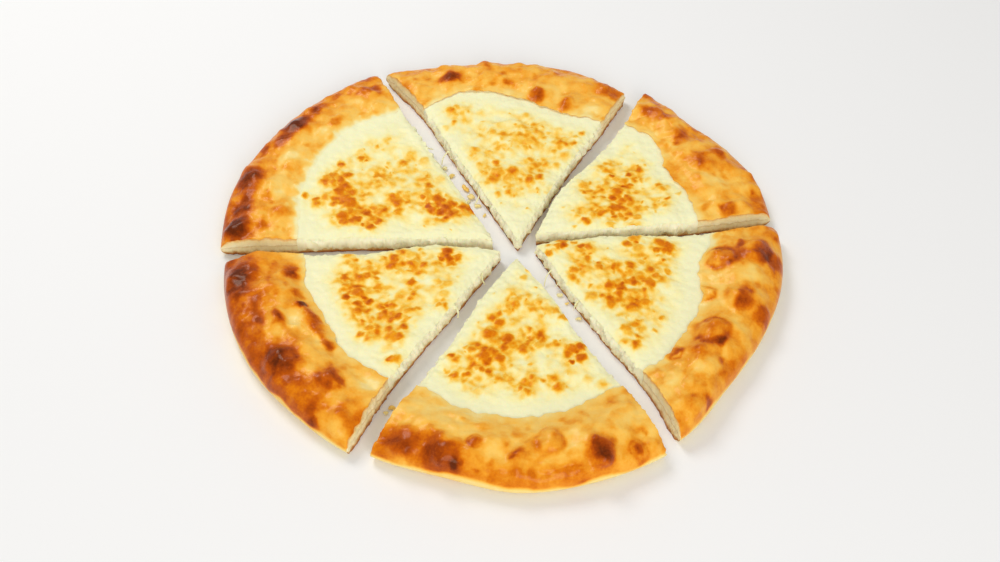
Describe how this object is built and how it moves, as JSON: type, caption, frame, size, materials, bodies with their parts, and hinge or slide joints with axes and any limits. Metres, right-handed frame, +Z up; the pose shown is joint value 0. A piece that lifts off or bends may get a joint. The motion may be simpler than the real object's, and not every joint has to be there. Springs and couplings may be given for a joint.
{
  "type": "khachapuri",
  "caption": "Round baked cheese bread with a puffed browned rim, cut into slices that still keep its shape.",
  "frame": {"origin": "middle of the whole bread's box, on the surface that the slices lie on", "axes": "+Z up through the bread's thickness, +X to the right and +Y to the back as seen from the front"},
  "size_m": [0.303, 0.305, 0.0199],
  "materials": {
    "baked_dough": "golden baked dough, glossy with egg wash on the rim",
    "baked_cheese": "pale melted cheese with small browned blisters"
  },
  "bodies": {
    "root": {"slice_1_bread": "baked_dough", "slice_1_cheese": "baked_cheese", "slice_2_bread": "baked_dough", "slice_2_cheese": "baked_cheese", "slice_3_bread": "baked_dough", "slice_3_cheese": "baked_cheese", "slice_4_bread": "baked_dough", "slice_4_cheese": "baked_cheese", "slice_5_bread": "baked_dough", "slice_5_cheese": "baked_cheese", "slice_6_bread": "baked_dough", "slice_6_cheese": "baked_cheese"}
  },
  "joints": []
}
